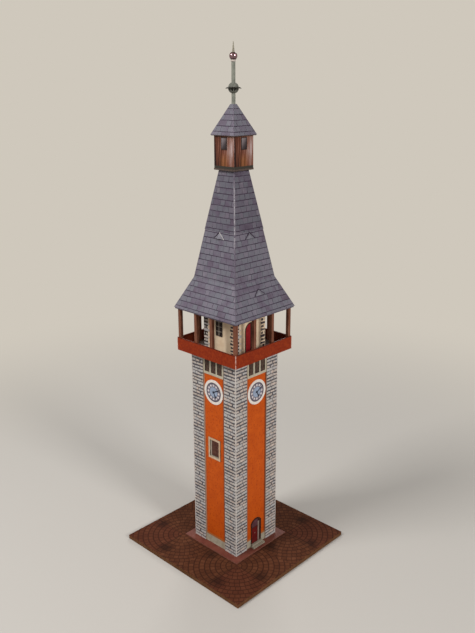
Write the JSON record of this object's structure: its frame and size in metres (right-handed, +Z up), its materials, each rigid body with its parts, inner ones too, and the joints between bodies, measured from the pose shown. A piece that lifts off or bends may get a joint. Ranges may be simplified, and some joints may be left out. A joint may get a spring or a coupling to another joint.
{
  "type": "lookout tower model",
  "caption": "Printed card model of a square lookout tower with clocks, an open posted gallery and a tall slate spire, on a square board.",
  "frame": {"origin": "middle of the board's underside", "axes": "+Z up the tower, -Y towards the side with the door, +X to the right as seen from that side"},
  "size_m": [0.1, 0.1, 0.3098],
  "materials": {
    "cobble_card": "printed, satin",
    "paving_card": "printed, matt",
    "step_card": "printed, matt",
    "orange_card": "printed, satin",
    "stone_card": "printed, matt",
    "door_card": "printed, satin",
    "window_card": "printed, satin",
    "dial_card": "printed, satin",
    "floor_card": "printed, matt",
    "parapet_card": "printed, satin",
    "post_card": "printed, matt",
    "room_card": "printed, matt",
    "dark_window_card": "printed, satin",
    "ceiling_card": "printed, matt",
    "slate_card": "printed, satin",
    "plank_card": "printed, satin",
    "crown_card": "printed, satin",
    "collar_card": "matt",
    "mast_paint": "painted, satin",
    "spike_paint": "painted, satin",
    "copper_bead": "polished metallic"
  },
  "bodies": {
    "root": {"base_board": "cobble_card", "pavement_sheet": "paving_card", "door_steps": "step_card", "shaft_wall_front": "orange_card", "shaft_wall_left": "orange_card", "shaft_wall_back": "orange_card", "shaft_wall_right": "orange_card", "corner_piers": "stone_card", "shaft_door": "door_card", "window_rows": "window_card", "stair_windows": "window_card", "clock_faces": "dial_card", "gallery_floor": "floor_card", "parapet_front": "parapet_card", "parapet_left": "parapet_card", "parapet_back": "parapet_card", "parapet_right": "parapet_card", "corner_posts": "post_card", "middle_posts": "post_card", "room_walls": "room_card", "room_door": "door_card", "room_windows": "dark_window_card", "gallery_ceiling": "ceiling_card", "skirt_front": "slate_card", "skirt_left": "slate_card", "skirt_back": "slate_card", "skirt_right": "slate_card", "middle_roof_front": "slate_card", "middle_roof_left": "slate_card", "middle_roof_back": "slate_card", "middle_roof_right": "slate_card", "upper_roof": "slate_card", "middle_dormers": "slate_card", "low_dormers": "slate_card", "lantern_floor": "ceiling_card", "lantern_walls": "plank_card", "lantern_windows": "dark_window_card", "lantern_soffit": "ceiling_card", "lantern_roof": "slate_card", "lower_mast": "mast_paint", "crown_cup": "crown_card", "crown_rim": "crown_card", "crown_dome": "crown_card", "upper_mast": "mast_paint", "ball_collar": "collar_card", "finial_ball": "copper_bead", "finial_spike": "spike_paint"}
  },
  "joints": []
}
